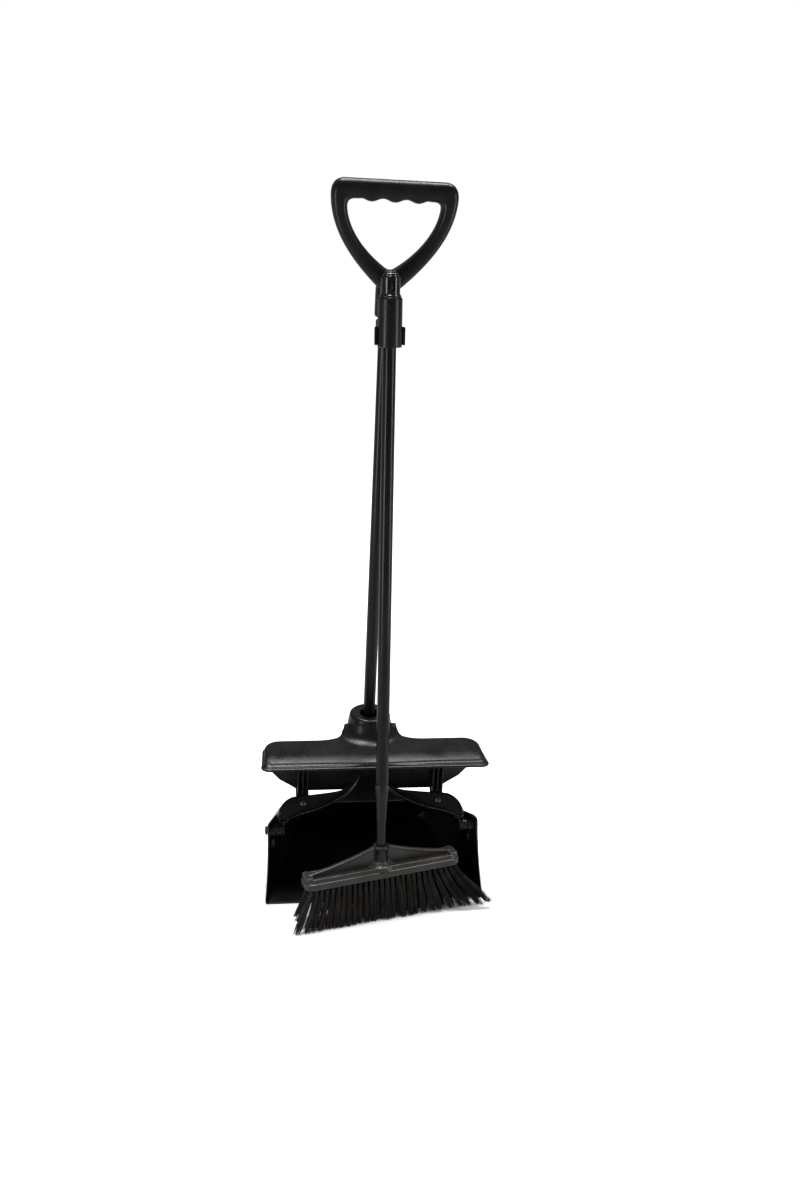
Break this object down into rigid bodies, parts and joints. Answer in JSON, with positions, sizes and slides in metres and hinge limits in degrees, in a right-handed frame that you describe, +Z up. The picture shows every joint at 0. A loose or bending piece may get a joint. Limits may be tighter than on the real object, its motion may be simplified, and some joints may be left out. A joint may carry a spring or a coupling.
{
  "type": "dust pan and brush set",
  "caption": "Upright long-handled dust pan with a hood over its mouth, a swinging pan in a wishbone yoke, a D handle, and a broom clipped upright in front of it.",
  "frame": {"origin": "centre of the pan's flat underside, on the floor", "axes": "+Z up, +Y to the back, away from the mouth, +X to the right seen from the front"},
  "size_m": [0.309, 0.2682, 0.9319],
  "materials": {
    "pan_plastic": "moulded black, satin",
    "yoke_plastic": "moulded black, satin",
    "hood_plastic": "moulded black, soft sheen",
    "handle_plastic": "moulded black, satin",
    "cap_plastic": "glossy black",
    "pin_plastic": "moulded black",
    "block_plastic": "moulded warm dark grey",
    "pole_coating": "satin black powder coat",
    "screw_steel": "blackened",
    "bristle": "dark polymer filament"
  },
  "bodies": {
    "handle": {"yoke": "yoke_plastic", "hood": "hood_plastic", "hood_screw_left": "screw_steel", "hood_screw_right": "screw_steel", "pan_pole": "pole_coating", "pole_plug": "pin_plastic", "pole_screw": "screw_steel", "d_handle": "handle_plastic", "handle_screw": "screw_steel", "broom_clip": "handle_plastic", "clip_screw": "screw_steel"},
    "pan": {"pan_body": "pan_plastic", "pivot_pin_left": "pin_plastic", "pivot_pin_right": "pin_plastic", "pivot_washer_left": "pin_plastic", "pivot_washer_right": "pin_plastic"},
    "broom": {"broom_cap": "cap_plastic", "broom_pole": "pole_coating", "broom_foot": "pin_plastic", "broom_head": "block_plastic", "bristle_row_1": "bristle", "bristle_row_2": "bristle", "bristle_row_3": "bristle", "bristle_row_4": "bristle"}
  },
  "joints": [
    {"name": "pan_swing", "type": "hinge", "parent": "handle", "child": "pan", "pos_m": [0, -0.042, 0.08], "axis": [-1, 0, 0], "range_deg": [0, 60]},
    {"name": "broom_swing", "type": "hinge", "parent": "handle", "child": "broom", "pos_m": [0, 0.0086, 0.8166], "axis": [-1, 0, 0], "range_deg": [0, 20]}
  ],
  "couplings": [
    {"joint": "broom_swing", "follows": "pan_swing", "ratio": 0.32}
  ]
}
